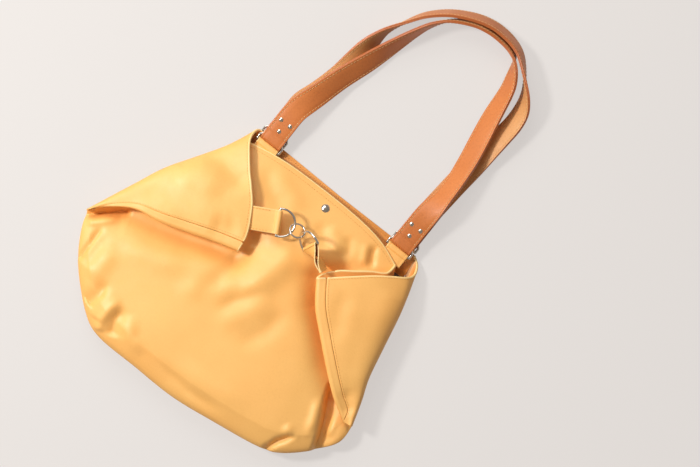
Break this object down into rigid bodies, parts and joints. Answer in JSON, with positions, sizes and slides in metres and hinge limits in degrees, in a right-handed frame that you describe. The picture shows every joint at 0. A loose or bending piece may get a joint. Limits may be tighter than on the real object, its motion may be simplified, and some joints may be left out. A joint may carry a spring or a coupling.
{
  "type": "trapeze bag",
  "caption": "Soft leather shoulder bag of trapeze cut lying on its back, its upper corners folded in and linked by rings, with looped riveted handles.",
  "frame": {"origin": "point on the flat resting face of the back panel, under the middle of the bag's body", "axes": "+Z out of the front, away from the surface the back lies on; +Y from the base to the handles; +X to the right as seen from the front"},
  "size_m": [0.4289, 0.6231, 0.0615],
  "materials": {
    "body_leather": "smooth matte yellow-ochre leather with a fine grain",
    "handle_leather": "smooth tan strap leather with painted edges and stitched borders",
    "handle_backing": "matte lighter tan leather on the inner side of the handles",
    "lining_cloth": "grey-brown woven cotton",
    "ring_metal": "polished nickel-plated wire",
    "rivet_metal": "polished nickel-plated cap",
    "snap_metal": "nickel-plated pressed metal"
  },
  "bodies": {
    "bag_shell": {"back_panel": "body_leather", "front_panel": "body_leather", "base_panel": "body_leather", "left_wing_outer": "body_leather", "left_wing_inner": "body_leather", "right_wing_outer": "body_leather", "right_wing_inner": "body_leather", "back_facing": "body_leather", "front_facing": "body_leather", "back_lining": "lining_cloth", "front_lining": "lining_cloth", "left_wing_tab": "body_leather", "right_wing_tab": "body_leather", "front_left_tab": "body_leather", "front_right_tab": "body_leather", "back_left_tab": "body_leather", "back_right_tab": "body_leather", "snap_cap": "rivet_metal", "snap_socket": "snap_metal", "snap_stud": "snap_metal"},
    "front_handle": {"front_left_ring": "ring_metal", "front_right_ring": "ring_metal", "front_strap": "handle_leather", "front_strap_backing": "handle_backing", "front_rivets": "rivet_metal"},
    "back_handle": {"back_left_ring": "ring_metal", "back_right_ring": "ring_metal", "back_strap": "handle_leather", "back_strap_backing": "handle_backing", "back_rivets": "rivet_metal"},
    "left_wing_ring": {"left_wing_ring": "ring_metal"},
    "link_ring": {"link_ring": "ring_metal"},
    "right_wing_ring": {"right_wing_ring": "ring_metal"}
  },
  "joints": [
    {"name": "front_handle_swing", "type": "hinge", "parent": "bag_shell", "child": "front_handle", "pos_m": [0.0215, 0.157, 0.0124], "axis": [1, 0, 0], "range_deg": [0, 90]},
    {"name": "back_handle_swing", "type": "hinge", "parent": "bag_shell", "child": "back_handle", "pos_m": [0.022, 0.168, 0.0041], "axis": [1, 0, 0], "range_deg": [-88, 0]},
    {"name": "left_ring_swing", "type": "hinge", "parent": "bag_shell", "child": "left_wing_ring", "pos_m": [-0.012, 0.091, 0.0425], "axis": [0.4802, -0.8771, 0], "range_deg": [-4, 2]},
    {"name": "link_swing", "type": "hinge", "parent": "left_wing_ring", "child": "link_ring", "pos_m": [0.00796, 0.09643, 0.0425], "axis": [-0.2166, 0.9763, 0], "range_deg": [-4, 4]},
    {"name": "right_ring_swing", "type": "hinge", "parent": "bag_shell", "child": "right_wing_ring", "pos_m": [0.0385, 0.0925, 0.046], "axis": [0.2391, 0.537, 0.809], "range_deg": [-1, 6]}
  ]
}
